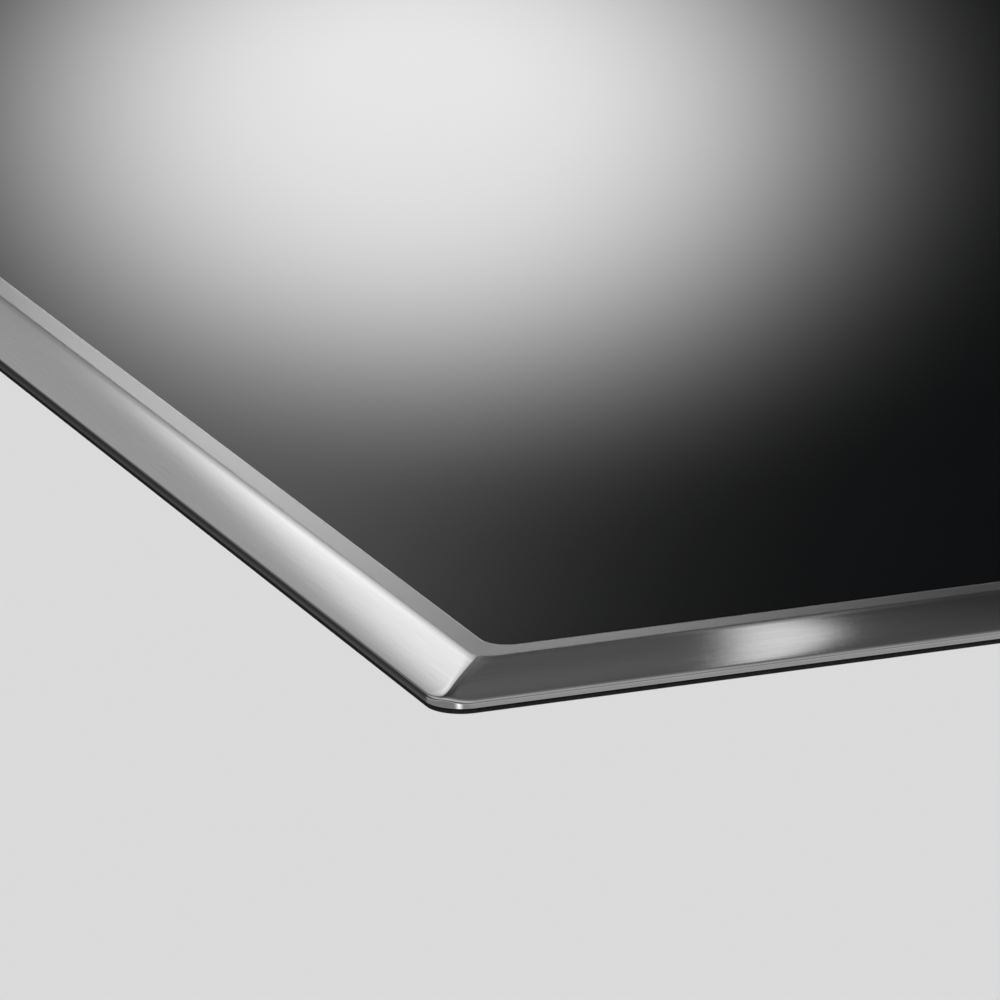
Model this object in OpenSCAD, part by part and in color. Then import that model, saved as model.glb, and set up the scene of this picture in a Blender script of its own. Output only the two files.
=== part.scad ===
// Built-in electric induction cooktop with four zones and a bevelled steel trim.
// The origin is the centre of the housing's underside. X runs right, Y runs back, Z runs up.
// The housing hangs in a worktop cut-out of 560 by 490 mm and the trim rests on the worktop.

/* [Overall] */
// Width over the steel trim
overall_w = 576; // [566:1:590]
// Depth over the steel trim
overall_d = 516; // [506:1:530]
// Height from the housing's underside to the top of the trim
overall_h = 50; // [50:1:54]

/* [Trim and glass] */
// Height of the trim's top above the worktop
seat_h = 5.2; // [5.2:0.1:6]
// Width of the trim as seen from above
trim_face = 14.9; // [13.5:0.1:18]
// Width of the flat lip that covers the edge of the glass
trim_lip = 4.4; // [3:0.1:5]
// Height of the trim's upright outer side
trim_side = 1.25; // [0.8:0.05:1.6]
// Thickness of the trim's sheet
trim_t = 0.6; // [0.5:0.05:0.7]
// Radius of the trim's outer corners
trim_corner_r = 6; // [4:0.5:10]
// Radius of the window's corners
window_corner_r = 4.5; // [2:0.5:8]
// Thickness of the glass
glass_t = 4; // [3.8:0.1:4]
// Thickness of the worktop gasket when it is pressed down
gasket_t = 0.8; // [0.6:0.1:1]

/* [Housing] */
// Width of the housing
housing_w = 552; // [548:1:554]
// Depth of the housing
housing_d = 482; // [478:1:484]
// Thickness of the housing's sheet
sheet_t = 0.8; // [0.6:0.1:1]
// Height of the step that holds the clamps
ledge_z = 18; // [17:0.5:19]
// Width of that step on each side
ledge_w = 22; // [20:1:24]

/* [Zones] */
// Distance of the zone centres from the middle
zone_x = 138; // [134:1:142]
// Y position of the two front zones
front_zone_y = -86; // [-90:1:-84]
// Y position of the two rear zones
rear_zone_y = 130; // [128:1:134]
// Outer radius of the front left winding
front_left_r = 92; // [80:1:94]
// Outer radius of the front right winding
front_right_r = 62; // [55:1:70]
// Outer radius of both rear windings
rear_r = 79; // [70:1:80]

/* [Moving parts] */
// Distance of the clamp screws from the middle, left and right
clamp_x = 265; // [264:0.5:266]
// Distance of the clamp screws from the middle, front and back
clamp_y = 130; // [110:1:140]
// Reach of a clamp arm from its screw
clamp_reach = 40; // [30:1:44]
// Radius of a blower's impeller
impeller_r = 43; // [38:1:44]
// Number of blades on an impeller
blade_count = 20; // [12:1:24]

/* [Hidden] */
$fn = 48;
gap = 0.1;                                   // play between parts that are stacked
over = 1;                                    // how far a cutter runs past a face
seat_z = overall_h - seat_h;                 // top of the worktop
trim_z = seat_z + gasket_t;                  // lower edge of the trim
bevel_w = trim_face - trim_lip;              // bevel, as seen from above
bevel_z = trim_z + trim_side;                // foot of the bevel
bevel_slope = (overall_h - bevel_z) / bevel_w;
lip_z = overall_h - trim_t;                  // underside of the lip
glass_top = lip_z - gap;
glass_z = glass_top - glass_t;
glass_inset = bevel_w + gap;                 // from the trim's outer side to the edge of the glass
glass_corner_r = 3;
tray_top = seat_z - 1.2;
tray_corner_r = 4;
carrier_t = 1;
carrier_drop = 15;                           // height of the carrier's upright leg
carrier_flange = 14;
bond_t = 0.3;                                // silicone between the carrier and the glass
carrier_w = housing_w - 2 * sheet_t - 2 * gap;
carrier_d = housing_d - 2 * sheet_t - 2 * gap;
carrier_top = glass_z - bond_t;
lower_w = housing_w - 2 * ledge_w;           // width of the housing under its step
screw_z = 36;                                // row of housing screws
screw_r = 1.45;
screw_head_r = 3.4;
screw_head_t = 1.9;
side_screw_y = [-185, 0, 185];
end_screw_x = [-205, -70, 70, 205];
pocket_w = 132;                              // recess in the back for the mains connection
pocket_depth = 36;
pocket_h = 26;
pocket_y = housing_d / 2 - pocket_depth;     // wall at the bottom of the recess
plate_z = 32.2;                              // underside of the coil plates
plate_t = 1.2;
former_z = 37.7;
former_t = 2;
ferrite_t = 4;
winding_t = 3.6;
winding_in_r = 24;
strand_pitch = 4;                            // from one turn of the winding to the next
insulation_t = glass_z - former_z - former_t - winding_t;
board_z = 6;                                 // underside of the circuit boards
board_t = 1.6;
board_top = board_z + board_t;
board_x = [84, 246];                         // inner and outer edge of a power board
board_y = [-205, 97];                        // front and back edge of a power board
filter_y = [-70, 141];                       // front and back edge of the mains filter board
blower_x = 170;
blower_y = 160;
blower_z = 2;
blower_h = 26;
blower_r = 52;
blower_wall = 1.5;
fan_pin_r = 2.44;
running_gap = 0.06;                          // radial play of a pin that turns
box_w = 120;                                 // terminal box
box_y = [150, pocket_y + 1];
box_z = [2.5, 23.5];
box_wall = 2;
inlet_x = 43;
inlet_z = 12;
inlet_r = 6.5;
inlet_wall = 8;
hinge_y = pocket_y + 4;
hinge_z = 3.2;
hinge_barrel_r = 1.9;
hinge_pin_r = 1.22;
cover_x = [-57, 25];                         // terminal cover, between its two ears
cover_t = 2;
ear_t = 3;
nut_r = 3.4;
clamp_head_z = 1;
clamp_head_h = 3;
clamp_head_r = 4.6;
clamp_screw_r = 2.44;
clamp_screw_len = 20;
clamp_arm_w = 16;
clamp_arm_t = 2;
clamp_arm_z = clamp_head_z + clamp_head_h + 0.2;
clamp_tooth_h = 2;
ui_w = 250;                                  // touch control under the glass
ui_y = [-224, -186];
ui_z = 37;
ui_wall = 1.5;
ui_board_z = 40;

// ---- general shapes ----

// A rectangle with round corners, centred.
module rounded_rect(w, d, r) {
    union() {
        square([w - 2 * r, d], center = true);
        square([w, d - 2 * r], center = true);
        for (x = [-1, 1], y = [-1, 1])
            translate([x * (w / 2 - r), y * (d / 2 - r)]) circle(r);
    }
}

// That rectangle as a plate between two heights.
module plate(w, d, r, z0, z1) {
    translate([0, 0, z0]) linear_extrude(z1 - z0) rounded_rect(w, d, r);
}

// A slot with round ends along X, centred.
module slot(length, width) {
    union() {
        square([length - width, width], center = true);
        for (s = [-1, 1]) translate([s * (length - width) / 2, 0]) circle(width / 2);
    }
}

// A block from its low corner to its high corner.
module block(low, high) {
    translate(low) cube(high - low);
}

// A tube standing on height z0.
module tube(r_out, r_in, z0, z1) {
    difference() {
        translate([0, 0, z0]) cylinder(r = r_out, h = z1 - z0);
        translate([0, 0, z0 - over]) cylinder(r = r_in, h = z1 - z0 + 2 * over);
    }
}

// A pyramid's stump whose sides lean in by the bevel's slope and end at w by d at height z1.
module bevel_stump(w, d, z0, z1) {
    spread = (z1 - z0) / bevel_slope;
    a = [w / 2 + spread, d / 2 + spread];
    b = [w / 2, d / 2];
    polyhedron(
        points = [[-a[0], -a[1], z0], [a[0], -a[1], z0], [a[0], a[1], z0], [-a[0], a[1], z0],
                  [-b[0], -b[1], z1], [b[0], -b[1], z1], [b[0], b[1], z1], [-b[0], b[1], z1]],
        faces = [[0, 1, 2, 3], [4, 7, 6, 5], [0, 4, 5, 1], [1, 5, 6, 2], [2, 6, 7, 3], [3, 7, 4, 0]]);
}

function unit(v) = v / norm(v);
function tangent(p, i) = unit(p[min(i + 1, len(p) - 1)] - p[max(i - 1, 0)]);
function square_to(side, t) = unit(side - t * (side * t));
// The side direction of each ring, carried along the path so that the tube doesn't twist.
function sides_along(p, first) =
    [for (i = 0, s = square_to(first, tangent(p, 0)); i < len(p);
          i = i + 1, s = square_to(s, tangent(p, min(i, len(p) - 1)))) s];
// A point of the smooth curve through p, at share t of the stretch after point i.
function on_curve(p, i, t) =
    let (a = p[max(i - 1, 0)], b = p[i], c = p[i + 1], d = p[min(i + 2, len(p) - 1)])
    0.5 * (2 * b + (c - a) * t + (2 * a - 5 * b + 4 * c - d) * t * t + (3 * b - a - 3 * c + d) * t * t * t);
function smooth(p, steps) =
    concat([for (i = [0:len(p) - 2], k = [0:steps - 1]) on_curve(p, i, k / steps)], [p[len(p) - 1]]);

// A round wire along a list of points.
module wire(p, r, sides = 8, first = [1, 0, 0.01]) {
    s = sides_along(p, first);
    n = len(p);
    points = [for (i = [0:n - 1]) let (b = cross(tangent(p, i), s[i])) for (k = [0:sides - 1])
                  p[i] + r * (cos(360 * k / sides) * s[i] + sin(360 * k / sides) * b)];
    walls = [for (i = [0:n - 2], k = [0:sides - 1]) let (m = (k + 1) % sides)
                  [i * sides + k, (i + 1) * sides + k, (i + 1) * sides + m, i * sides + m]];
    caps = [[for (k = [0:sides - 1]) k], [for (k = [sides - 1:-1:0]) (n - 1) * sides + k]];
    polyhedron(points = points, faces = concat(caps, walls));
}

// Repeats its children in the mirror image on the right-hand side.
module both_sides() {
    children();
    mirror([1, 0, 0]) children();
}

// ---- trim, glass and seals ----

module trim_outside() {
    intersection() {
        plate(overall_w, overall_d, trim_corner_r, trim_z, overall_h);
        bevel_stump(overall_w - 2 * bevel_w, overall_d - 2 * bevel_w, trim_z - over, overall_h);
    }
}

// The hollow that lies t under the trim's outer surface, from height z0 up.
module trim_inside(z0, t) {
    under = t * sqrt(1 + bevel_slope * bevel_slope);
    top = overall_h - t;
    inset = (top - (bevel_z - under)) / bevel_slope;
    intersection() {
        plate(overall_w - 2 * t, overall_d - 2 * t, trim_corner_r - t, z0, top);
        bevel_stump(overall_w - 2 * inset, overall_d - 2 * inset, z0 - over, top);
    }
}

module trim_frame() {
    color("silver") difference() {
        trim_outside();
        trim_inside(trim_z - over, trim_t);
        plate(overall_w - 2 * trim_face, overall_d - 2 * trim_face, window_corner_r, trim_z, overall_h + over);
    }
}

module glass_body() {
    plate(overall_w - 2 * glass_inset, overall_d - 2 * glass_inset, glass_corner_r, glass_z, glass_top);
}

module glass_plate() {
    color([0.05, 0.05, 0.06]) glass_body();
}

// The bead that bonds the glass in the trim, and the strip that bonds the carrier under the glass.
module glass_adhesive() {
    lip_bond = trim_lip - 0.4;
    strip = carrier_flange - 2;
    color("dimgray") {
        difference() {
            trim_inside(trim_z, trim_t + 0.02);
            plate(overall_w - 2 * glass_inset, overall_d - 2 * glass_inset, glass_corner_r,
                  trim_z - over, glass_top);
            plate(overall_w - 2 * (bevel_w + lip_bond), overall_d - 2 * (bevel_w + lip_bond),
                  window_corner_r, trim_z - over, overall_h);
        }
        difference() {
            plate(carrier_w - 2, carrier_d - 2, tray_corner_r, carrier_top, glass_z);
            plate(carrier_w - 2 - 2 * strip, carrier_d - 2 - 2 * strip, tray_corner_r,
                  carrier_top - over, glass_z + over);
        }
    }
}

module worktop_gasket() {
    outer = 0.2;
    inner = 8.5;
    color([0.08, 0.08, 0.08]) difference() {
        plate(overall_w - 2 * outer, overall_d - 2 * outer, trim_corner_r - outer, seat_z, trim_z);
        plate(overall_w - 2 * inner, overall_d - 2 * inner, 2, seat_z - over, trim_z + over);
    }
}

// ---- housing ----

// Puts its children at every housing screw, with the screw's axis along Z and its head outside.
module at_housing_screws() {
    for (y = side_screw_y, s = [-1, 1])
        translate([s * housing_w / 2, y, screw_z]) rotate([0, s * 90, 0]) children();
    for (x = end_screw_x, s = [-1, 1])
        translate([x, s * housing_d / 2, screw_z]) rotate([-s * 90, 0, 0]) children();
}

module at_clamps() {
    for (x = [-1, 1], y = [-1, 1]) translate([x * clamp_x, y * clamp_y, 0]) children();
}

module carrier_frame() {
    inner_w = carrier_w - 2 * carrier_t;
    inner_d = carrier_d - 2 * carrier_t;
    leg_r = tray_corner_r - sheet_t - gap;
    color("lightgray") difference() {
        plate(carrier_w, carrier_d, leg_r, carrier_top - carrier_drop, carrier_top);
        plate(inner_w, inner_d, leg_r - carrier_t, carrier_top - carrier_drop - over, carrier_top - carrier_t);
        plate(carrier_w - 2 * carrier_flange, carrier_d - 2 * carrier_flange, 2,
              carrier_top - carrier_t - over, carrier_top + over);
        at_housing_screws() translate([0, 0, -6]) cylinder(r = screw_r + 0.05, h = 8);
    }
}

// The housing's outer form, drawn in by i on every side: the upper part, the narrower lower part and the recess.
module tray_form(i, top) {
    difference() {
        union() {
            plate(housing_w - 2 * i, housing_d - 2 * i, tray_corner_r - i, ledge_z + i, top);
            plate(lower_w - 2 * i, housing_d - 2 * i, tray_corner_r - i, i, ledge_z + 2);
        }
        block([-pocket_w / 2 - i, pocket_y - i, -over], [pocket_w / 2 + i, housing_d, pocket_h + i]);
    }
}

// Slots under a blower, each as long as the round inlet is wide there.
module inlet_grille() {
    r = 34;
    pitch = 7;
    for (k = [-4:4])
        translate([0, k * pitch, -over]) linear_extrude(sheet_t + 2 * over)
            slot(2 * sqrt(r * r - k * k * pitch * pitch), 3.2);
}

// Upright slots that let the warm air out through the front and back walls.
module outlet_slots(x0, x1, y) {
    pitch = 9;
    count = floor((x1 - x0) / pitch);
    for (k = [0:count])
        translate([(x0 + x1) / 2 + (k - count / 2) * pitch, y, 14]) rotate([90, 0, 0])
            linear_extrude(4 * over, center = true) rotate(90) slot(18, 3.6);
}

module housing_tray() {
    color("gainsboro") difference() {
        tray_form(0, tray_top);
        tray_form(sheet_t, tray_top + over);
        for (s = [-1, 1]) translate([s * blower_x, blower_y, 0]) inlet_grille();
        outlet_slots(-235, -95, -housing_d / 2);
        outlet_slots(95, 235, -housing_d / 2);
        outlet_slots(-60, 60, -housing_d / 2);
        outlet_slots(-235, -95, housing_d / 2);
        outlet_slots(95, 235, housing_d / 2);
        block([-box_w / 2 - 0.5, pocket_y - 2, box_z[0] - 0.5], [box_w / 2 + 0.5, pocket_y + 2, box_z[1] + 0.5]);
        at_housing_screws() translate([0, 0, -2]) cylinder(r = screw_r + 0.25, h = 4);
        at_clamps() translate([0, 0, ledge_z - over]) cylinder(r = nut_r + 0.05, h = sheet_t + 2 * over);
    }
}

// Pan-head tapping screws with a cross recess.
module housing_screws() {
    color("silver") at_housing_screws() difference() {
        union() {
            cylinder(r = screw_head_r, h = screw_head_t - 0.6);
            translate([0, 0, screw_head_t - 0.6]) cylinder(r1 = screw_head_r, r2 = screw_head_r - 0.8, h = 0.6);
            translate([0, 0, -7]) cylinder(r = screw_r, h = 7.5);
            translate([0, 0, -8.5]) cylinder(r1 = 0.4, r2 = screw_r, h = 1.5);
        }
        for (a = [0, 90]) rotate(a) translate([-1.9, -0.4, screw_head_t - 1.2]) cube([3.8, 0.8, 2]);
    }
}

module rivet_nuts() {
    color("silver") at_clamps() difference() {
        union() {
            translate([0, 0, ledge_z - 0.8]) cylinder(r = 5, h = 0.8);
            translate([0, 0, ledge_z - 0.5]) cylinder(r = nut_r, h = 8.5);
            translate([0, 0, ledge_z + sheet_t]) cylinder(r1 = 4.6, r2 = nut_r, h = 1.6);
        }
        translate([0, 0, ledge_z - 2]) cylinder(r = clamp_screw_r + running_gap, h = 14);
    }
}

// ---- worktop clamps ----

// A hexagon-head screw that carries one clamp arm.
module clamp_screw(x, y) {
    color("silver") translate([x * clamp_x, y * clamp_y, clamp_head_z]) {
        cylinder(r = clamp_head_r, h = clamp_head_h, $fn = 6);
        translate([0, 0, clamp_head_h - 0.5]) cylinder(r = clamp_screw_r, h = clamp_screw_len + 0.5);
    }
}

// A flat arm with an upturned toothed tip. It points to the middle of the side when it is stowed.
module clamp_arm(x, y) {
    tip = 5;
    teeth = 4;
    color("gray") translate([x * clamp_x, y * clamp_y, clamp_arm_z]) rotate(y > 0 ? -90 : 90) difference() {
        union() {
            linear_extrude(clamp_arm_t) union() {
                circle(clamp_arm_w / 2);
                translate([0, -clamp_arm_w / 2]) square([clamp_reach, clamp_arm_w]);
            }
            for (k = [0:teeth - 1])
                translate([clamp_reach - tip, -clamp_arm_w / 2 + k * clamp_arm_w / (teeth - 0.5), clamp_arm_t - 0.2])
                    cube([tip, clamp_arm_w / (2 * teeth - 1), clamp_tooth_h + 0.2]);
        }
        translate([0, 0, -over]) cylinder(r = clamp_screw_r + running_gap, h = 2 * clamp_arm_t);
        translate([22, 0, -over]) linear_extrude(2 * clamp_arm_t) slot(14, 5);
    }
}

// ---- coils ----

// Centre and winding radius of each zone.
function zone(front, left) =
    [left ? -zone_x : zone_x, front ? front_zone_y : rear_zone_y, front ? (left ? front_left_r : front_right_r) : rear_r];
zones = [zone(true, true), zone(true, false), zone(false, true), zone(false, false)];
// Where a zone's two leads leave the winding and pass through the coil plate.
function lead_spot(z) = [sign(z[0]) * (z[1] < 0 ? 120 : 150), z[1] + (z[1] < 0 ? 1 : -1) * (z[2] + 11)];

module coil_plate(s) {
    inner = 14;
    outer = 256;
    front = -182;
    back = 222;
    color("lightsteelblue") difference() {
        union() {
            block([min(s * inner, s * outer), front, plate_z], [max(s * inner, s * outer), back, plate_z + plate_t]);
            for (y = [post_y[0], post_y[1]])
                block([min(s * (outer - 1), s * 268), y - 8, plate_z], [max(s * (outer - 1), s * 268), y + 8, plate_z + plate_t]);
        }
        for (z = zones) if (z[0] * s > 0) {
            translate([z[0], z[1], plate_z - over]) cylinder(r = 14, h = 2 * over + plate_t);
            translate([lead_spot(z)[0], lead_spot(z)[1], plate_z - over])
                linear_extrude(2 * over + plate_t) slot(24, 12);
        }
        for (p = post_spots) if (p[0] * s > 0)
            translate([p[0], p[1], plate_z - over]) cylinder(r = post_r + 0.4, h = 2 * over + plate_t);
        for (x = [60, 216]) translate([s * x, 22, plate_z - over]) linear_extrude(2 * over + plate_t) slot(36, 10);
    }
}

post_r = 2;
post_y = [-170, 190];
spring_z = 23;
post_spots = [for (s = [-1, 1], x = [76.8, 263], y = post_y) [s * x, y, x > 200 ? ledge_z + sheet_t : sheet_t]];

// Posts that guide the coil plates. Each has a collar for its spring.
module plate_posts() {
    color("white") for (p = post_spots) translate([p[0], p[1], 0]) {
        translate([0, 0, p[2]]) cylinder(r = 4.2, h = spring_z - p[2]);
        translate([0, 0, spring_z - 1]) cylinder(r = post_r, h = 14);
    }
}

// Springs that press the coils against the glass.
module plate_springs() {
    turns = 4;
    wire_r = 0.45;
    coil_r = 3.3;
    height = plate_z - spring_z - 2 * wire_r - 0.1;
    steps = 12;
    color("silver") for (p = post_spots) translate([p[0], p[1], spring_z + wire_r + 0.05])
        wire([for (i = [0:turns * steps])
                 [coil_r * cos(360 * i / steps), coil_r * sin(360 * i / steps), height * i / (turns * steps)]],
             wire_r, 6, [1, 0, 0]);
}

// A spoked plastic carrier with ribs that keep the ferrite bars apart.
module former(z) {
    spokes = 8;
    rib_h = ferrite_t - 0.3;
    color("ivory") translate([z[0], z[1], former_z]) union() {
        tube(z[2] + 2, z[2] - 5, 0, former_t);
        tube(winding_in_r + 6, 10, 0, former_t);
        for (k = [0:spokes - 1]) rotate(k * 360 / spokes)
            block([winding_in_r, -8.5, 0], [z[2] - 2, 8.5, former_t]);
        for (k = [0:spokes - 1], s = [-1, 1]) rotate(k * 360 / spokes)
            block([winding_in_r + 6, s * 9.5 - 0.8 - (s > 0 ? 1.2 : 0), -rib_h],
                  [z[2] - 4, s * 9.5 + 0.8 + (s < 0 ? 1.2 : 0), 0.5]);
        tube(14, 10, -rib_h, 0.5);
    }
}

module ferrite_bars() {
    spokes = 8;
    color("dimgray") for (z = zones) translate([z[0], z[1], former_z - ferrite_t])
        for (k = [0:spokes - 1]) rotate(k * 360 / spokes)
            block([winding_in_r + 8, -7, 0], [z[2] - 4, 7, ferrite_t - gap / 2]);
}

// The flat winding. Grooves on its top mark one turn from the next.
module winding(z) {
    turns = floor((z[2] - winding_in_r) / strand_pitch);
    groove = 0.5;
    color("orange") translate([z[0], z[1], former_z + former_t]) difference() {
        tube(z[2], winding_in_r, 0, winding_t);
        for (k = [1:turns - 1])
            tube(winding_in_r + k * strand_pitch + groove / 2, winding_in_r + k * strand_pitch - groove / 2,
                 winding_t - groove, winding_t + over);
    }
}

module insulation(z) {
    color("linen") translate([z[0], z[1], former_z + former_t + winding_t])
        tube(z[2] + 2, 12, 0, insulation_t);
}

// A temperature sensor in the middle of each zone: a soft cap on a stem, held in the former's hub.
module coil_sensors() {
    z0 = former_z - 2;
    color("indianred") for (z = zones) translate([z[0], z[1], 0]) union() {
        translate([0, 0, z0]) cylinder(r = 9.6, h = former_t + 2);
        translate([0, 0, former_z + former_t - 0.5]) cylinder(r = 6, h = 4.5);
        translate([0, 0, former_z + former_t + 3.5]) cylinder(r = 8, h = glass_z - former_z - former_t - 3.5);
    }
}

// Two sleeved leads from each winding, through the coil plate and down to the power board.
module coil_leads() {
    lead_r = 1.5;
    color("tomato") for (z = zones, k = [-1, 1]) {
        spot = lead_spot(z);
        out = z[1] < 0 ? -1 : 1;
        x = spot[0] + 4 * k;
        start_y = z[1] - out * sqrt(pow(z[2] + 2.6, 2) - pow(x - z[0], 2));
        wire(smooth([[x, start_y, former_z + former_t + 1.6], [x, (start_y + spot[1]) / 2, former_z + former_t + 1.2],
                     [x, spot[1], plate_z + 3], [x, spot[1], 24], [x, spot[1], board_top + 7]], 5),
             lead_r, 8, [1, 0, 0.01]);
    }
}

// ---- power electronics, drawn for the left-hand side ----

module board_tray() {
    color([0.2, 0.2, 0.22]) union() {
        difference() {
            block([-board_x[1] - 2.5, board_y[0] - 2.5, sheet_t + gap], [-board_x[0] + 2.5, board_y[1] + 2.5, 11]);
            block([-board_x[1] - 0.7, board_y[0] - 0.7, sheet_t + gap + 1.5], [-board_x[0] + 0.7, board_y[1] + 0.7, 12]);
        }
        for (x = [-board_x[1] + 5, -board_x[0] - 5], y = [board_y[0] + 5, -60, board_y[1] - 5])
            translate([x, y, sheet_t + gap + 1]) cylinder(r = 3, h = board_z - sheet_t - gap - 1);
    }
}

module power_board() {
    color("darkgreen") difference() {
        block([-board_x[1], board_y[0], board_z], [-board_x[0], board_y[1], board_top]);
        for (x = [-board_x[1] + 5, -board_x[0] - 5], y = [board_y[0] + 5, -60, board_y[1] - 5])
            translate([x, y, board_z - over]) cylinder(r = 1.7, h = board_t + 2 * over);
    }
    for (y = [-12, 18, 40]) if (y != 18) color("white")
        block([y == 40 ? -158 : -128, y - 5, board_top], [y == 40 ? -142 : -112, y + 5, board_top + 5]);
    color("white") block([-128, 13, board_top], [-112, 23, board_top + 5]);
}

// An aluminium extrusion: a base, fins along the air stream and a thick wall for the transistors.
module heat_sink() {
    x0 = -222;
    width = 46;
    fins = 9;
    fin_t = 1.4;
    base = 5;
    wall = 4;
    top = 30.5;
    color("lightgray") difference() {
        translate([x0, 96, board_top + 0.2]) rotate([90, 0, 0]) linear_extrude(216) union() {
            square([width, base]);
            translate([width - wall, 0]) square([wall, top - board_top]);
            for (k = [0:fins - 1]) translate([k * (width - wall) / fins, 0]) square([fin_t, top - board_top]);
        }
        for (y = transistor_y) translate([x0 + width - wall - over, y, 22]) rotate([0, 90, 0])
            cylinder(r = 1.5, h = wall + 2 * over);
    }
}

transistor_y = [-95, -62, -29, 4, 44];

module transistors() {
    x0 = -176;
    for (y = transistor_y) {
        w = y > 40 ? 30 : 16;
        color([0.1, 0.1, 0.1]) union() {
            block([x0 + gap, y - w / 2, board_top + 5], [x0 + 5, y + w / 2, board_top + 20]);
            for (k = [-1, 0, 1])
                block([x0 + 2, y + k * w / 3 - 0.6, board_top + gap], [x0 + 3, y + k * w / 3 + 0.6, board_top + 6]);
        }
    }
}

module power_transistors() {
    both_sides() transistors();
}

// A boxed film capacitor with its low corner at p.
module film_capacitor(p, size) {
    color("gold") block(p, p + size);
}

module film_capacitors() {
    z = board_top + gap / 2;
    both_sides() {
        for (y = [-150, -125, -100, -75]) film_capacitor([-150, y, z], [32, 18, 21]);
        film_capacitor([-150, 60, z], [40, 22, 20]);
    }
    for (y = [60, 92]) film_capacitor([-62, y, z], [32, 18, 20]);
    film_capacitor([26, 92, z], [32, 18, 20]);
}

module electrolytic_capacitors() {
    z = board_top + gap / 2;
    color("navy") {
        both_sides() for (y = [-175, -140]) difference() {
            translate([-103, y, z]) cylinder(r = 9, h = 21);
            translate([-103, y, z + 2.5]) rotate_extrude() translate([9.2, 0]) circle(0.9, $fn = 24);
        }
        for (y = [-50, -25]) translate([-50, y, z]) cylinder(r = 8, h = 20);
    }
}

module relays() {
    z = board_top + gap / 2;
    both_sides() for (y = [-60, -40]) color("black") block([-108, y, z], [-90, y + 15, z + 14]);
    for (x = [-30, 0, 30]) color("black") block([x - 8, 118, z], [x + 8, 136, z + 15]);
}

module mains_filter_board() {
    half = 72;
    front = filter_y[0];
    back = filter_y[1];
    color("darkgreen") difference() {
        block([-half, front, board_z], [half, back, board_top]);
        for (x = [-half + 5, half - 5], y = [front + 5, back - 5])
            translate([x, y, board_z - over]) cylinder(r = 1.7, h = board_t + 2 * over);
    }
    color([0.2, 0.2, 0.22]) for (x = [-half + 5, half - 5], y = [front + 5, back - 5])
        translate([x, y, sheet_t]) tube(3.4, 1.7, 0, board_z - sheet_t);
    color("white") {
        block([-20, front + 3, board_top], [20, front + 10, board_top + 8]);
        block([52, -40, board_top], [60, 20, board_top + 9]);
    }
}

// Two ring cores with their windings, standing on the mains filter board.
module filter_chokes() {
    z = board_top + 9.3;
    for (y = [-18, 32]) translate([6, y, z]) {
        color("darkorange") rotate_extrude() translate([14, 0]) difference() {
            circle(r = 7.2);
            circle(r = 5.2);
        }
        color("green") rotate_extrude() translate([14, 0]) circle(r = 5);
    }
}

// ---- blowers, drawn for the left-hand side ----

module blower_outline(i) {
    union() {
        circle(blower_r - i);
        translate([-blower_r + i, -blower_r - 8]) square([50 - 2 * i, blower_r + 8]);
    }
}

// A snail housing. Air comes in through the round hole below and leaves towards the heat sink.
module blower_housing() {
    top = blower_z + blower_h;
    color([0.15, 0.15, 0.16]) translate([-blower_x, blower_y, 0]) {
        difference() {
            translate([0, 0, blower_z]) linear_extrude(blower_h) blower_outline(0);
            translate([0, 0, blower_z + blower_wall]) linear_extrude(blower_h - 2 * blower_wall)
                blower_outline(blower_wall);
            translate([-blower_r + blower_wall, -blower_r - 10, blower_z + blower_wall])
                cube([50 - 2 * blower_wall, 6, blower_h - 2 * blower_wall]);
            translate([0, 0, -over]) cylinder(r = 33, h = blower_z + blower_wall + over + 0.01);
        }
        translate([0, 0, top - blower_wall - 3]) cylinder(r = 11, h = 3.2);
        translate([0, 0, blower_z + 4]) cylinder(r = fan_pin_r, h = blower_h - blower_wall - 4);
    }
}

// A drum of upright blades on a disc, with a hub that turns on the housing's pin.
module impeller() {
    z0 = blower_z + 3;
    z1 = blower_z + blower_h - blower_wall - 5;
    disc = 1.5;
    inner_r = 31;
    color("gray") translate([-blower_x, blower_y, 0]) difference() {
        union() {
            translate([0, 0, z1 - disc]) cylinder(r = impeller_r, h = disc);
            tube(impeller_r, impeller_r - 1.5, z0, z0 + 2);
            for (k = [0:blade_count - 1]) rotate(k * 360 / blade_count) translate([inner_r, 0, z0])
                rotate(25) translate([0, -0.6, 0]) cube([impeller_r - inner_r + 0.4, 1.2, z1 - z0 - disc / 2]);
            translate([0, 0, z0 + 4]) cylinder(r1 = 9, r2 = 15, h = z1 - z0 - 4 - disc / 2);
        }
        translate([0, 0, z0 - over]) cylinder(r = fan_pin_r + running_gap, h = blower_h);
    }
}

// ---- touch control ----

module control_carrier() {
    y0 = ui_y[0];
    y1 = ui_y[1];
    color([0.2, 0.2, 0.22]) union() {
        difference() {
            block([-ui_w / 2, y0, ui_z], [ui_w / 2, y1, glass_z - gap / 2]);
            block([-ui_w / 2 + ui_wall, y0 + ui_wall, ui_z + ui_wall], [ui_w / 2 - ui_wall, y1 - ui_wall, glass_z + over]);
            block([-12, y1 - ui_wall - over, ui_z + ui_wall], [12, y1 + over, ui_board_z - 0.3]);
        }
        for (x = [-100, -50, 0, 50, 100], y = [y0 + 6, y1 - 6])
            translate([x, y, ui_z + 1]) cylinder(r = 2, h = ui_board_z - ui_z - 1);
    }
}

module control_board() {
    color("darkgreen") block([-ui_w / 2 + 2, ui_y[0] + 2, ui_board_z], [ui_w / 2 - 2, ui_y[1] - 2, ui_board_z + board_t]);
    color([0.1, 0.1, 0.1]) for (x = [-50, 30])
        block([x, ui_y[1] - 13, ui_board_z + board_t], [x + 10, ui_y[1] - 5, ui_board_z + board_t + 1.2]);
}

touch_x = [-112, -84, -56, -42, -28, -14, 14, 28, 42, 56, 84, 112];

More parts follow.
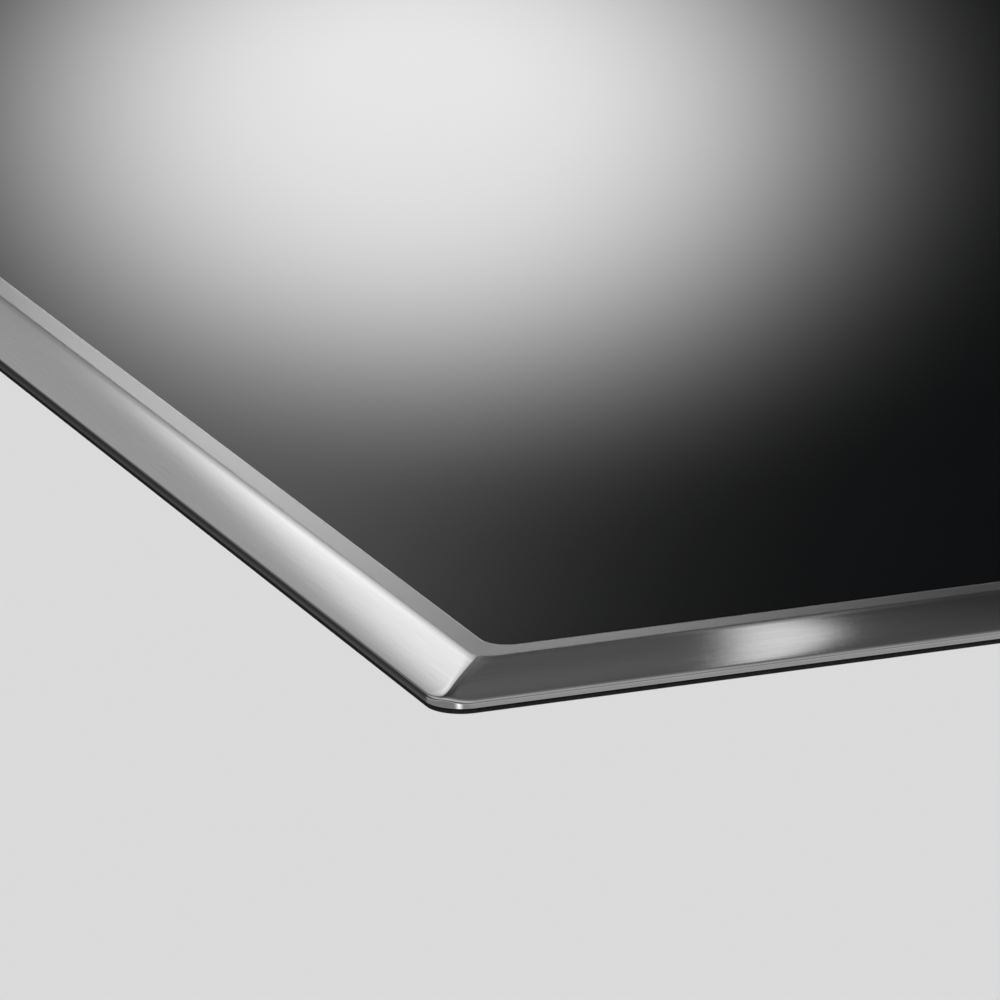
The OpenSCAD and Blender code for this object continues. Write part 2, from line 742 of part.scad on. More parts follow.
// Soft conductive sleeves that carry the touch fields up to the glass.
module touch_springs() {
    color("gold") for (x = touch_x) translate([x, ui_y[0] + 11, 0])
        tube(4.4, 3.6, ui_board_z + board_t, glass_z - gap / 2);
}

module display_modules() {
    color("white") for (x = [-98, -70, 0, 70, 98])
        block([x - 6.5, ui_y[0] + 18, ui_board_z + board_t + gap / 2], [x + 6.5, ui_y[0] + 29, glass_z - 0.3]);
}

// A flat lead from the touch control down to the mains filter board.
module control_ribbon() {
    t = 0.6;
    half = 9;
    y0 = ui_y[1];
    color("gray") union() {
        block([-half, y0 - 4, ui_z + 2], [half, y0 + 8, ui_z + 2 + t]);
        block([-half, y0 + 8 - t, 14], [half, y0 + 8, ui_z + 2 + t]);
        block([-half, y0 + 8 - t, 14], [half, filter_y[0] + 3, 14 + t]);
    }
}

// ---- mains connection ----

// The box behind the recess: open at the back over the terminals, with a bored wall for the cable.
module terminal_box() {
    half = box_w / 2;
    split = cover_x[1] + ear_t;
    color([0.2, 0.2, 0.22]) difference() {
        union() {
            difference() {
                block([-half, box_y[0], box_z[0]], [half, box_y[1], box_z[1]]);
                block([-half + box_wall, box_y[0] + box_wall, box_z[0] + box_wall],
                      [split - box_wall, box_y[1] + over, box_z[1] - box_wall]);
                block([-half + box_wall, box_y[0] + box_wall, box_z[0] + box_wall],
                      [half - box_wall, box_y[1] - inlet_wall, box_z[1] - box_wall]);
            }
            for (x = [cover_x[0] - ear_t, cover_x[1]])
                block([x, box_y[1] - 1, hinge_z - 2.3], [x + ear_t, hinge_y + 2.5, hinge_z + 2.3]);
            for (s = [-1, 1])
                block([inlet_x + s * 11 - 3, box_y[1] - 22, box_z[0] + 1], [inlet_x + s * 11 + 3, box_y[1] - 12, inlet_z]);
        }
        translate([cover_x[0] - 2 * ear_t, hinge_y, hinge_z]) rotate([0, 90, 0])
            cylinder(r = hinge_pin_r + running_gap, h = cover_x[1] - cover_x[0] + 4 * ear_t);
        translate([inlet_x, box_y[1] + over, inlet_z]) rotate([90, 0, 0]) cylinder(r = inlet_r, h = inlet_wall + 2 * over);
        for (s = [-1, 1]) translate([inlet_x + s * 11, box_y[1] - 17, inlet_z - 5]) cylinder(r = 1.3, h = 6);
    }
}

// Five screw terminals in one white block.
module terminal_block() {
    pitch = 14;
    y0 = 166;
    y1 = 190;
    z0 = box_z[0] + box_wall;
    color("white") difference() {
        block([-51, y0, z0 + gap / 2], [-51 + 5 * pitch, y1, z0 + 14]);
        for (k = [0:4]) translate([-51 + (k + 0.5) * pitch, 0, 0]) {
            translate([0, y1 + over, z0 + 5]) rotate([90, 0, 0]) cylinder(r = 3, h = 16);
            translate([0, y1 - 8, z0 + 5]) cylinder(r = 3.4, h = 12);
            translate([0, y0 + 8, z0 + 5]) cylinder(r = 3.4, h = 12);
        }
    }
    color("goldenrod") for (k = [0:4], y = [y1 - 8, y0 + 8])
        translate([-51 + (k + 0.5) * pitch, y, z0 + 9]) difference() {
            cylinder(r = 3.1, h = 3);
            translate([-4, -0.5, 2]) cube([8, 1, 2]);
        }
}

// The flap over the terminals. It turns down on two pins at its lower edge.
module terminal_cover() {
    y0 = box_y[1] + 0.3;
    play = 0.3;
    middle = (cover_x[0] + cover_x[1]) / 2;
    color([0.25, 0.25, 0.27]) union() {
        block([cover_x[0] + play, y0, hinge_z], [cover_x[1] - play, y0 + cover_t, box_z[1]]);
        block([middle - 9, y0, box_z[1] - 1], [middle + 9, y0 + cover_t, box_z[1] + 1.6]);
        for (k = [-2:2]) translate([middle + k * 14, 0, 0])
            block([-1, y0 + cover_t - 0.2, hinge_z + 3], [1, y0 + cover_t + 0.8, box_z[1] - 2]);
        translate([cover_x[0] + play, hinge_y, hinge_z]) rotate([0, 90, 0])
            cylinder(r = hinge_barrel_r, h = cover_x[1] - cover_x[0] - 2 * play);
        translate([cover_x[0] - ear_t + play, hinge_y, hinge_z]) rotate([0, 90, 0])
            cylinder(r = hinge_pin_r, h = cover_x[1] - cover_x[0] + 2 * (ear_t - play));
    }
}

// A half-round strap with two screws that grips the cable inside the box.
module cable_clamp() {
    y = box_y[1] - 17;
    half = 4;
    color("whitesmoke") difference() {
        union() {
            translate([inlet_x, y + half, inlet_z]) rotate([90, 0, 0]) cylinder(r = 8.4, h = 2 * half);
            block([inlet_x - 14, y - half, inlet_z + 0.05], [inlet_x + 14, y + half, inlet_z + 1.8]);
        }
        translate([inlet_x, y + half + over, inlet_z]) rotate([90, 0, 0]) cylinder(r = inlet_r + 0.3, h = 2 * half + 2 * over);
        block([inlet_x - 20, y - 2 * half, 0], [inlet_x + 20, y + 2 * half, inlet_z + 0.05]);
        for (s = [-1, 1]) translate([inlet_x + s * 11, y, inlet_z - over]) cylinder(r = 1.5, h = 5);
    }
    color("silver") for (s = [-1, 1]) translate([inlet_x + s * 11, y, inlet_z + 1.85]) {
        cylinder(r = 2.6, h = 1.8);
        translate([0, 0, -6]) cylinder(r = 1.2, h = 6.5);
    }
}

trim_frame();
glass_plate();
glass_adhesive();
worktop_gasket();
carrier_frame();
housing_tray();
housing_screws();
rivet_nuts();
clamp_screw(-1, -1);  // front_left_clamp_screw
clamp_screw(1, -1);  // front_right_clamp_screw
clamp_screw(-1, 1);  // rear_left_clamp_screw
clamp_screw(1, 1);  // rear_right_clamp_screw
clamp_arm(-1, -1);  // front_left_clamp_arm
clamp_arm(1, -1);  // front_right_clamp_arm
clamp_arm(-1, 1);  // rear_left_clamp_arm
clamp_arm(1, 1);  // rear_right_clamp_arm
coil_plate(-1);  // left_coil_plate
coil_plate(1);  // right_coil_plate
plate_posts();
plate_springs();
former(zones[0]);  // front_left_former
former(zones[1]);  // front_right_former
former(zones[2]);  // rear_left_former
former(zones[3]);  // rear_right_former
winding(zones[0]);  // front_left_winding
winding(zones[1]);  // front_right_winding
winding(zones[2]);  // rear_left_winding
winding(zones[3]);  // rear_right_winding
insulation(zones[0]);  // front_left_insulation
insulation(zones[1]);  // front_right_insulation
insulation(zones[2]);  // rear_left_insulation
insulation(zones[3]);  // rear_right_insulation
ferrite_bars();
coil_sensors();
coil_leads();
board_tray();  // left_board_tray
mirror([1, 0, 0]) board_tray();  // right_board_tray
power_board();  // left_power_board
mirror([1, 0, 0]) power_board();  // right_power_board
heat_sink();  // left_heat_sink
mirror([1, 0, 0]) heat_sink();  // right_heat_sink
power_transistors();
film_capacitors();
electrolytic_capacitors();
relays();
mains_filter_board();
filter_chokes();
blower_housing();  // left_blower_housing
mirror([1, 0, 0]) blower_housing();  // right_blower_housing
impeller();  // left_impeller
mirror([1, 0, 0]) impeller();  // right_impeller
control_carrier();
control_board();
touch_springs();
display_modules();
control_ribbon();
terminal_box();
terminal_block();
terminal_cover();
cable_clamp();
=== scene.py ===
import math
import bpy
import bmesh
from mathutils import Euler, Matrix, Vector


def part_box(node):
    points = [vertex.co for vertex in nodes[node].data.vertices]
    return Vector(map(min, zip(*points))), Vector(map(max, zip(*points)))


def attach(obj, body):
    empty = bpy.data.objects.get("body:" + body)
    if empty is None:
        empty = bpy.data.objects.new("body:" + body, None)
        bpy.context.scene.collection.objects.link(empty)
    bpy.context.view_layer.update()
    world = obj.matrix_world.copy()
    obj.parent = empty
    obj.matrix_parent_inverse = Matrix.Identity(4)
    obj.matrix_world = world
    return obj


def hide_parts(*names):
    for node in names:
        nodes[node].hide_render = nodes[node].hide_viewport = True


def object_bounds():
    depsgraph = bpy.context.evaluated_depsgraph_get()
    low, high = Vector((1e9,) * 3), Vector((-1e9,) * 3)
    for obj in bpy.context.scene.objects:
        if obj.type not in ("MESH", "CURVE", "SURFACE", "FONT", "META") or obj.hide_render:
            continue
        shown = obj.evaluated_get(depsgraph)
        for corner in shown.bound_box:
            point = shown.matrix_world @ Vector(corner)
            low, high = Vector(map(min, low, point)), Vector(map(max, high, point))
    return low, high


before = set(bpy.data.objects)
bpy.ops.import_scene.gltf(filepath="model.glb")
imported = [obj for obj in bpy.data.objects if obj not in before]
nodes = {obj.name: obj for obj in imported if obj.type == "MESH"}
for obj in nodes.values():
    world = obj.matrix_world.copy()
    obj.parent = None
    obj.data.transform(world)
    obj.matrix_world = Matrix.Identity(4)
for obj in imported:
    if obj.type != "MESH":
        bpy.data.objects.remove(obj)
cad_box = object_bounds()

# ---- Camera and stage ----
# A long lens looks down at the front left corner of the trim. The floor is a wide pale sheet. The cooktop
# would sit in a worktop, so a pale card near the lens stands for the worktop in front of the corner.

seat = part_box("worktop_gasket")[0].z
corner = Vector((cad_box[0].x, cad_box[0].y, seat))
look = Euler((math.radians(90 - 17.13), 0, math.radians(-22.56)))
right, up, back = (look.to_matrix().col[i].copy() for i in range(3))
camera_data = bpy.data.cameras.new("camera")
camera_data.sensor_width = 36
camera_data.lens = 283.07
camera_data.clip_start = 0.01
camera_data.clip_end = 100
camera = bpy.data.objects.new("camera", camera_data)
camera.rotation_euler = look
camera.location = corner + 0.00927 * right + 0.03356 * up + 1.2070 * back
bpy.context.collection.objects.link(camera)
scene = bpy.context.scene
scene.camera = camera
scene.view_settings.view_transform = "Standard"


def shade_flat_and_bends(piece, angle):
    """Smooths the bends up to the angle, so that flat faces stay flat."""
    bpy.ops.object.shade_smooth_by_angle(angle=math.radians(angle))
    even = piece.modifiers.new("even", "WEIGHTED_NORMAL")
    even.keep_sharp = True
    bpy.ops.object.modifier_apply(modifier="even")


def finish_mesh(piece):
    """Merges doubles, turns the faces outwards and smooths the bends."""
    bpy.ops.object.mode_set(mode="EDIT")
    bpy.ops.mesh.select_all(action="SELECT")
    bpy.ops.mesh.remove_doubles(threshold=1e-6)
    bpy.ops.mesh.normals_make_consistent(inside=False)
    bpy.ops.object.mode_set(mode="OBJECT")
    shade_flat_and_bends(piece, 30)
    return piece


def place_in_mesh(piece):
    """Leaves the object at the origin, with its place, turn and size in its mesh."""
    bpy.ops.object.select_all(action="DESELECT")
    piece.select_set(True)
    bpy.context.view_layer.objects.active = piece
    bpy.ops.object.transform_apply(location=True, rotation=True, scale=True)


def rounded_plate(name, half_w, half_d, r, z, steps):
    """A flat face with round corners, left in edit mode with its outline selected."""
    bpy.ops.object.select_all(action="DESELECT")
    bpy.ops.mesh.primitive_plane_add(size=2)
    piece = bpy.context.object
    piece.name = piece.data.name = name
    piece.scale = (half_w, half_d, 1)
    piece.location = (0, 0, z)
    place_in_mesh(piece)
    bpy.ops.object.mode_set(mode="EDIT")
    bpy.ops.mesh.select_all(action="SELECT")
    bpy.ops.mesh.bevel(offset=r, segments=steps, affect="VERTICES", clamp_overlap=False)
    return piece


floor_material = bpy.data.materials.new("pale_floor")
floor_material.use_nodes = True
floor_shader = floor_material.node_tree.nodes["Principled BSDF"]
floor_shader.inputs["Base Color"].default_value = (0.785, 0.785, 0.785, 1)
floor_shader.inputs["Roughness"].default_value = 0.9
floor_shader.inputs["Specular IOR Level"].default_value = 0.0

bpy.ops.object.select_all(action="DESELECT")
bpy.ops.mesh.primitive_plane_add(size=160)
floor = bpy.context.object
floor.name = "floor"
floor.data.materials.append(floor_material)
floor.visible_glossy = False

# The card is the worktop's own outline around the seat, drawn in towards the lens to a tenth of its size.
# It starts just inside the trim's edge, where the foam meets the worktop.
half_w, half_d = cad_box[1].x, cad_box[1].y
card = rounded_plate("card", half_w - 0.0003, half_d - 0.0003, 0.0057, seat, 12)
bpy.ops.mesh.delete(type="ONLY_FACE")
bpy.ops.mesh.select_all(action="SELECT")
bpy.ops.mesh.extrude_edges_move()
bpy.ops.transform.resize(value=(2.2, 2.2, 1))
bpy.ops.mesh.select_all(action="SELECT")
bpy.ops.transform.resize(value=(0.1, 0.1, 0.1), center_override=tuple(camera.location))
bpy.ops.object.mode_set(mode="OBJECT")
card.data.materials.append(floor_material)
card.visible_shadow = card.visible_diffuse = card.visible_glossy = False

# The sky is dark but for a pale band at the horizon and soft lamps, each a patch of light in one direction.
world = bpy.data.worlds.new("studio")
world.use_nodes = True
scene.world = world
sky = world.node_tree
sky_light = sky.nodes["Background"]
direction = sky.nodes.new("ShaderNodeTexCoord")


def soft_lamp(azimuth, elevation, width, height, strength, edge=2.0, roll=0.0):
    """A patch of light. Its sizes are in degrees, and a larger edge gives it a firmer rim."""
    turn = Matrix.Rotation(math.radians(-azimuth), 3, "Z")
    turn = turn @ Matrix.Rotation(math.radians(elevation), 3, "X")
    tilted = turn @ Matrix.Rotation(math.radians(roll), 3, "Y")
    aim = sky.nodes.new("ShaderNodeMapping")
    aim.vector_type = "TEXTURE"
    aim.inputs["Location"].default_value = turn.col[1]
    aim.inputs["Rotation"].default_value = tilted.to_euler()
    aim.inputs["Scale"].default_value = (math.radians(width), 0.6, math.radians(height))
    sky.links.new(direction.outputs["Generated"], aim.inputs["Vector"])
    away = sky.nodes.new("ShaderNodeVectorMath")
    away.operation = "LENGTH"
    sky.links.new(aim.outputs[0], away.inputs[0])
    last = away.outputs["Value"]
    fall_off = (("POWER", edge), ("MULTIPLY", -1.0), ("EXPONENT", None), ("MULTIPLY", strength))
    for operation, value in fall_off:
        step = sky.nodes.new("ShaderNodeMath")
        step.operation = operation
        if value is not None:
            step.inputs[1].default_value = value
        sky.links.new(last, step.inputs[0])
        last = step.outputs[0]
    return last


height = sky.nodes.new("ShaderNodeSeparateXYZ")
sky.links.new(direction.outputs["Generated"], height.inputs[0])
band = sky.nodes.new("ShaderNodeMapRange")
band.inputs["From Min"].default_value = -1
sky.links.new(height.outputs["Z"], band.inputs["Value"])
ramp = sky.nodes.new("ShaderNodeValToRGB")
sky.links.new(band.outputs[0], ramp.inputs[0])
stops = ((-1.0, 0.24), (-0.20, 0.30), (-0.07, 0.42), (-0.01, 0.72), (0.03, 0.70), (0.10, 0.12),
         (0.17, 0.006), (0.45, 0.006), (0.72, 0.035), (1.0, 0.25))
for z, grey in stops:
    ends = {-1.0: 0, 1.0: -1}
    stop = ramp.color_ramp.elements[ends[z]] if z in ends else ramp.color_ramp.elements.new((z + 1) / 2)
    stop.color = (grey, grey, grey, 1)

lamps = [
    soft_lamp(21.9, 14.4, 2.75, 1.85, 2.9, 3.2),    # far soft box, mirrored by the glass
    soft_lamp(20.0, 17.6, 2.4, 1.5, 0.36),          # its spill upwards
    soft_lamp(26, 3, 9, 4.5, 1.2, 3),               # its light on the table, along the glass's edges
    soft_lamp(12.15, 29.8, 5.6, 10, 0.85, 9, -48),  # box above the left side
    soft_lamp(12.4, 24.4, 3.2, 1.5, 0.45, 4),       # its brighter lower edge
    soft_lamp(6, 26, 9, 7, 0.38, 5),                # its glow on the wall behind
    soft_lamp(20, 36, 7, 7, 0.16, 2),               # its fall-off towards the front
    soft_lamp(35.97, 47.4, 0.38, 9, 0.95, 6, 28),   # narrow box above the front
    soft_lamp(30, 47, 4.7, 9, 0.075, 6, 28),        # its glow
    soft_lamp(157, -17, 30, 12, 0.14),              # fill from the front
    soft_lamp(158, 38, 30, 26, 0.3),                # high fill from the front
    soft_lamp(-152, -15, 8, 7, 1.6),                # glint on the corner's foot
    soft_lamp(-45, 34, 30, 12, 0.6),                # four more around the room, for the other sides
    soft_lamp(135, 12, 14, 4, 1.6),
    soft_lamp(-100, 40, 25, 18, 0.7),
    soft_lamp(200, 50, 35, 20, 0.6),
]

# A black flag to the left keeps the pale band off the left side.
flag = soft_lamp(-22, -3, 17, 20, 0.9, 4)
clear = sky.nodes.new("ShaderNodeMath")
clear.operation = "SUBTRACT"
clear.inputs[0].default_value = 1.0
sky.links.new(flag, clear.inputs[1])
shaded = sky.nodes.new("ShaderNodeVectorMath")
shaded.operation = "SCALE"
sky.links.new(ramp.outputs[0], shaded.inputs[0])
sky.links.new(clear.outputs[0], shaded.inputs["Scale"])

total = shaded.outputs[0]
for lamp in lamps:
    add = sky.nodes.new("ShaderNodeVectorMath")
    add.operation = "ADD"
    sky.links.new(total, add.inputs[0])
    sky.links.new(lamp, add.inputs[1])
    total = add.outputs[0]
sky.links.new(total, sky_light.inputs["Color"])

sun_data = bpy.data.lights.new("soft_sun", "SUN")
sun_data.energy = 2.1
sun_data.angle = math.radians(35)
sun = bpy.data.objects.new("soft_sun", sun_data)
sun.rotation_euler = Euler((math.radians(28), math.radians(-14), 0))
sun.visible_glossy = False
bpy.context.collection.objects.link(sun)

# ---- Steel trim ----
# One ring of 0.6 mm stainless sheet, pressed to a flat lip, a bevel and a short upright side, with the
# corners drawn and the joints dressed. It is brushed along each side and glued round the glass.

trim_low, trim_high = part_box("trim_frame")
glass_low, glass_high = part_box("glass_plate")
sheet = 0.0006
lip_w = 0.0044
bevel_w = 0.0105
side_h = 0.00125
foot = trim_low.z + side_h
slope = math.atan2(trim_high.z - foot, bevel_w)


def bend(inset, z, turn_from, turn_to, radius, steps):
    """Stations of an arc that rounds a corner of the section. The turns are the directions of travel."""
    half = (turn_from - turn_to) / 2
    reach = radius * math.tan(half)
    start = (inset - reach * math.cos(turn_from), z - reach * math.sin(turn_from))
    centre = (start[0] + radius * math.sin(turn_from), start[1] - radius * math.cos(turn_from))
    angles = [turn_from + (turn_to - turn_from) * i / steps for i in range(steps + 1)]
    return [(centre[0] - radius * math.sin(a), centre[1] + radius * math.cos(a)) for a in angles]


def crown(start, end, turn_from, turn_to, steps):
    """Stations of the shallow curve between two bends, without its ends."""
    (a, b), (c, d) = start, end
    ta, tb = math.tan(turn_from), math.tan(turn_to)
    x = (d - b + ta * a - tb * c) / (ta - tb)
    tip = (x, b + ta * (x - a))
    shares = [i / steps for i in range(1, steps)]
    return [tuple((1 - t) ** 2 * p + 2 * t * (1 - t) * q + t * t * r for p, q, r in zip(start, tip, end))
            for t in shares]


up_side = math.radians(90)
swell = math.radians(3.5)
foot_bend = bend(0, foot, up_side, slope + swell, 0.0008, 6)
lip_bend = bend(bevel_w, trim_high.z, slope - swell, 0, 0.0030, 4)
bevel = crown(foot_bend[-1], lip_bend[0], slope + swell, slope - swell, 10)
edge_bend = bend(bevel_w + lip_w, trim_high.z, 0, -up_side, 0.0004, 6)
inner = [(bevel_w + lip_w, trim_high.z - sheet), (bevel_w, trim_high.z - sheet),
         (sheet, foot - 0.6 * sheet), (sheet, trim_low.z)]


def fold_radius(inset):
    """The bevel's fold is tight just above the foot, and opens towards the outer corner and the lip."""
    tight_at, tight_r = 0.0028, 0.0024
    foot_at = foot_bend[-1][0]
    if inset < tight_at:
        return foot_r + (tight_r - foot_r) * (inset - foot_at) / (tight_at - foot_at)
    return tight_r + (lip_r - tight_r) * (inset - tight_at) / (bevel_w - tight_at)


# Each station: inset, height, corner radius, and how steeply it climbs where a corner is drawn in.
foot_r = 0.0053
lip_r = 0.0036
window_r = 0.0045
rise = math.tan(slope)
trim_stations = [(0.00012, trim_low.z, 0.0059, 0), (0, trim_low.z + 0.00012, 0.006, 0)]
trim_stations += [(a, z, 0.006 - a, rise) for a, z in foot_bend]
trim_stations += [(a, z, fold_radius(a), rise) for a, z in bevel]
trim_stations += [(a, z, lip_r, rise * (1 - i / 4)) for i, (a, z) in enumerate(lip_bend)]
trim_stations += [(a, z, window_r, 0) for a, z in edge_bend]
trim_stations += [(a, z, r, 0) for (a, z), r in zip(inner, (window_r, 0.0028, 0.0055, 0.0055))]


def carry_ring(mesh, old, new):
    """Extrudes the selected ring on to its next station, moving one corner at a time."""
    bpy.ops.mesh.extrude_edges_move()
    ring = bmesh.from_edit_mesh(mesh)
    verts = [v for v in ring.verts if v.select]
    for sx in (-1, 1):
        for sy in (-1, 1):
            for v in verts:
                v.select_set(v.co.x * sx > 0 and v.co.y * sy > 0)
            bmesh.update_edit_mesh(mesh)
            tip = (sx * (half_w - old[0]), sy * (half_d - old[0]), old[1])
            k = new[2] / old[2]
            bpy.ops.transform.resize(value=(k, k, 1), center_override=tip)
            step = old[0] - new[0]
            bpy.ops.transform.translate(value=(sx * step, sy * step, new[1] - old[1]))
    for v in verts:
        v.select_set(True)
    ring.select_flush_mode()
    bmesh.update_edit_mesh(mesh)


def ring_piece(name, stations):
    """A closed ring whose section runs through the stations."""
    inset, z, r, _ = stations[0]
    piece = rounded_plate(name, half_w - inset, half_d - inset, r, z, 12)
    bpy.ops.mesh.delete(type="ONLY_FACE")
    bpy.ops.mesh.select_mode(type="EDGE")
    bpy.ops.mesh.select_all(action="SELECT")
    for old, new in zip(stations, stations[1:] + stations[:1]):
        carry_ring(piece.data, old, new)
    bpy.ops.mesh.select_mode(type="VERT")
    bpy.ops.object.mode_set(mode="OBJECT")
    # The two bevels climb to meet at each corner in a fold, which opens a little towards the lip.
    climbs = {round(z, 7): (inset, climb) for inset, z, _, climb in stations if climb}
    for v in piece.data.vertices:
        inset, climb = climbs.get(round(v.co.z, 7), (0, 0))
        from_x, from_y = half_w - abs(v.co.x), half_d - abs(v.co.y)
        soft = 0.0010 + 0.26 * inset
        eased = max(soft - abs(from_x - from_y), 0) ** 2 / (4 * soft)
        rise_here = climb * (min(from_x, from_y) - eased - inset)
        v.co.z = min(v.co.z + rise_here, trim_high.z)
    return finish_mesh(piece)


def lay_along_sides(piece):
    """A UV map in metres: U runs along the nearest side and V across it, with a fold at each mitre."""
    uv = piece.data.uv_layers.new(name="brushing")
    for face in piece.data.polygons:
        c = face.center
        along_y = half_w - abs(c.x) < half_d - abs(c.y)
        for i in face.loop_indices:
            p = piece.data.vertices[piece.data.loops[i].vertex_index].co
            across = math.copysign(abs(p.x if along_y else p.y) - p.z, 1)
            uv.data[i].uv = (p.y, across) if along_y else (p.x + 2, across)


trim = ring_piece("steel_trim", trim_stations)
lay_along_sides(trim)

brushed = bpy.data.materials.new("brushed_steel")
brushed.use_nodes = True
tree = brushed.node_tree
shader = tree.nodes["Principled BSDF"]
shader.inputs["Metallic"].default_value = 1
shader.inputs["Anisotropic"].default_value = 1.0
shader.inputs["Anisotropic Rotation"].default_value = 0.25
uv = tree.nodes.new("ShaderNodeUVMap")
uv.uv_map = "brushing"
tangent = tree.nodes.new("ShaderNodeTangent")
tangent.direction_type = "UV_MAP"
tangent.uv_map = "brushing"
tree.links.new(tangent.outputs[0], shader.inputs["Tangent"])


def streaks(tree, source, along, across, detail):
    """Noise drawn out along U. Along and across are the size of one streak in metres."""
    place = tree.nodes.new("ShaderNodeMapping")
    place.inputs["Scale"].default_value = (1 / along, 1 / across, 1)
    tree.links.new(source, place.inputs["Vector"])
    noise = tree.nodes.new("ShaderNodeTexNoise")
    noise.inputs["Scale"].default_value = 1
    noise.inputs["Detail"].default_value = detail
    tree.links.new(place.outputs[0], noise.inputs["Vector"])
    return noise.outputs["Fac"]


def spread(tree, fac, low, high, clamp_low=0.3, clamp_high=0.7):
    """A number, or a colour if low is one, that runs from low to high with the pattern."""
    if isinstance(low, tuple):
        mix = tree.nodes.new("ShaderNodeValToRGB")
        mix.color_ramp.elements[0].position = clamp_low
        mix.color_ramp.elements[1].position = clamp_high
        mix.color_ramp.elements[0].color = (*low, 1)
        mix.color_ramp.elements[1].color = (*high, 1)
        tree.links.new(fac, mix.inputs[0])
        return mix.outputs[0]
    reach = tree.nodes.new("ShaderNodeMapRange")
    reach.inputs["From Min"].default_value = clamp_low
    reach.inputs["From Max"].default_value = clamp_high
    reach.inputs["To Min"].default_value = low
    reach.inputs["To Max"].default_value = high
    tree.links.new(fac, reach.inputs["Value"])
    return reach.outputs[0]


def bump(tree, fac, depth, shader):
    """Raises the surface by the pattern, by depth in metres."""
    raised = tree.nodes.new("ShaderNodeBump")
    raised.inputs["Strength"].default_value = 1
    raised.inputs["Distance"].default_value = depth
    tree.links.new(fac, raised.inputs["Height"])
    tree.links.new(raised.outputs[0], shader.inputs["Normal"])


fine = streaks(tree, uv.outputs[0], 0.012, 0.00022, 3)
broad = streaks(tree, uv.outputs[0], 0.06, 0.0016, 2)
on_lip = tree.nodes.new("ShaderNodeSeparateXYZ")
object_place = tree.nodes.new("ShaderNodeTexCoord")
tree.links.new(object_place.outputs["Object"], on_lip.inputs[0])
lip_from, lip_to = trim_high.z - 0.0003, trim_high.z - 0.00005
coarser = spread(tree, on_lip.outputs["Z"], 0.0, 0.115, lip_from, lip_to)
# Towards the lip the colour is scaled down to 0.76 of the rest. This is painted shade, standing in for the
# dimmer reflection the lip shows under these lamps.
lip_painted_shade = spread(tree, on_lip.outputs["Z"], 1.0, 0.76, lip_from, lip_to)
streaks_with_lip_shade = tree.nodes.new("ShaderNodeVectorMath")
streaks_with_lip_shade.operation = "SCALE"
tree.links.new(spread(tree, fine, (0.56, 0.56, 0.56), (0.61, 0.61, 0.608)), streaks_with_lip_shade.inputs[0])
tree.links.new(lip_painted_shade, streaks_with_lip_shade.inputs["Scale"])
tree.links.new(streaks_with_lip_shade.outputs[0], shader.inputs["Base Color"])
gloss = tree.nodes.new("ShaderNodeMath")
gloss.operation = "ADD"
tree.links.new(spread(tree, broad, 0.06, 0.075), gloss.inputs[0])
tree.links.new(coarser, gloss.inputs[1])
tree.links.new(gloss.outputs[0], shader.inputs["Roughness"])
bump(tree, fine, 0.0000014, shader)
trim.data.materials.append(brushed)
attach(trim, "cooktop")
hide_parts("trim_frame")

# ---- Glass ----
# A 4 mm plate of black glass ceramic with ground and polished edges, laid in the trim from below.

glass = rounded_plate("black_glass", glass_high.x, glass_high.y, 0.003, glass_high.z, 8)
bpy.ops.mesh.extrude_region_move(TRANSFORM_OT_translate={"value": (0, 0, glass_low.z - glass_high.z)})
bpy.ops.object.mode_set(mode="OBJECT")
arris = glass.modifiers.new("arris", "BEVEL")
arris.width = 0.0004
arris.segments = 2
arris.limit_method = "ANGLE"
arris.angle_limit = math.radians(60)
bpy.ops.object.modifier_apply(modifier="arris")
finish_mesh(glass)

black = bpy.data.materials.new("glass_ceramic")
black.use_nodes = True
tree = black.node_tree
shader = tree.nodes["Principled BSDF"]
shader.inputs["IOR"].default_value = 1.5
place = tree.nodes.new("ShaderNodeTexCoord")
wash = tree.nodes.new("ShaderNodeTexNoise")
wash.inputs["Scale"].default_value = 18
wash.inputs["Detail"].default_value = 2
tree.links.new(place.outputs["Object"], wash.inputs["Vector"])
tree.links.new(spread(tree, wash.outputs["Fac"], (0.0014, 0.0018, 0.0023), (0.0022, 0.0027, 0.0033)),
               shader.inputs["Base Color"])
tree.links.new(spread(tree, wash.outputs["Fac"], 0.015, 0.03), shader.inputs["Roughness"])
glass.data.materials.append(black)
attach(glass, "cooktop")
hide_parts("glass_plate")

# ---- Touch legend ----
# Pale ceramic ink, screen printed and fired on the glass over the touch sleeves: power, lock, eight steps
# of heat, timer and pause. Over each zone's display, four dots with one large tell which zone it is.

ink_top = glass_high.z + 0.00002
sleeves_low, sleeves_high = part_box("touch_springs")
keys_y = (sleeves_low.y + sleeves_high.y) / 2
marks = []


def print_bar(x, y, w, h):
    """A bar of ink, w wide and h deep."""
    bpy.ops.object.select_all(action="DESELECT")
    bpy.ops.mesh.primitive_plane_add(size=1, location=(x, y, ink_top))
    marks.append(bpy.context.object)
    marks[-1].scale = (w, h, 1)


